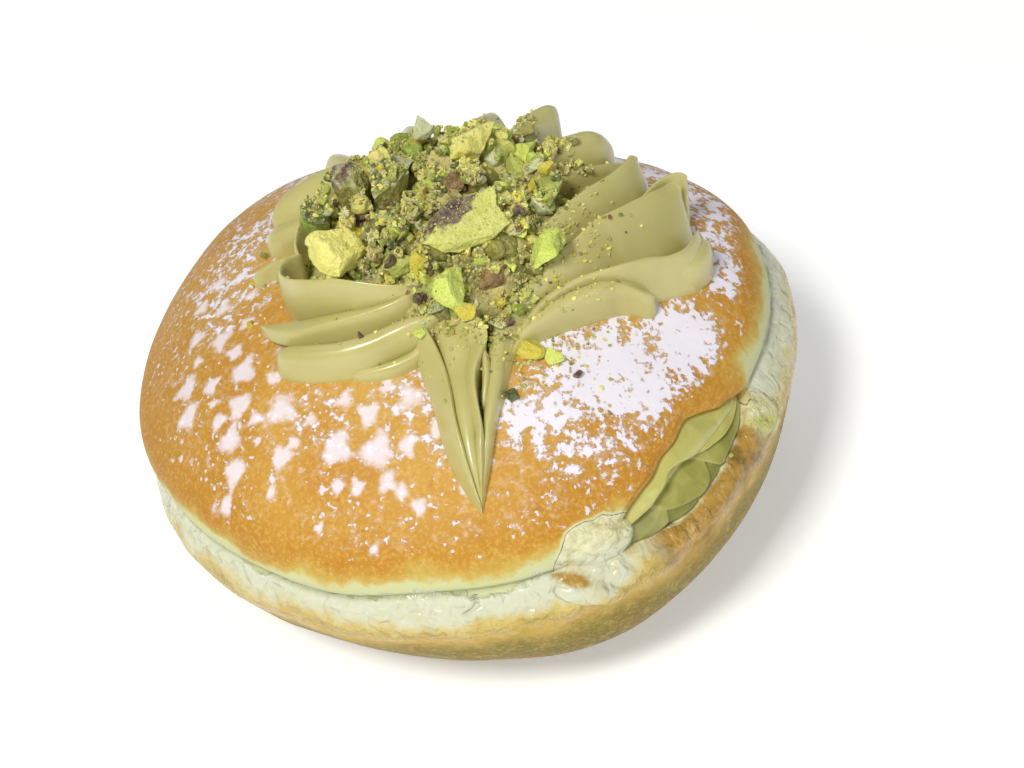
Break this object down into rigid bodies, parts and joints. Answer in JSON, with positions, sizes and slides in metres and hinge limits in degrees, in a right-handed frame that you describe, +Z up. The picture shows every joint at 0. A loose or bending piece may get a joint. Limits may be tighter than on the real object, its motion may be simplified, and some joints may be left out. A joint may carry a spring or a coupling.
{
  "type": "berliner doughnut",
  "caption": "Filled round doughnut, gaping at one side, with a piped nut-cream rosette that ends in a tail, under a heap of chopped pistachio.",
  "frame": {"origin": "middle of the doughnut's plan outline, on the surface it rests on", "axes": "+Z up; -Y towards the tail of cream at the front; +X to the right, where the filling shows between -Y and +X"},
  "size_m": [0.0998, 0.0952, 0.0678],
  "materials": {
    "crust": "golden fried crust with a pale band and powdered sugar",
    "filling": "smooth olive-green nut cream, slightly glossy",
    "cream": "smooth pale olive piped cream with soft gloss",
    "chopped_nut": "chopped pistachio, rough and dusty",
    "kernel": "pistachio flesh, green to yellow, with dark skin"
  },
  "bodies": {
    "root": {"bun": "crust", "filling": "filling", "piped_cream": "cream", "pistachio_heap": "chopped_nut", "kernel_chunk": "kernel", "kernel_dark": "kernel", "kernel_skin": "kernel", "kernel_dusted": "kernel", "kernel_back": "kernel", "kernel_half": "kernel", "kernel_cube": "kernel", "kernel_side": "kernel"}
  },
  "joints": []
}
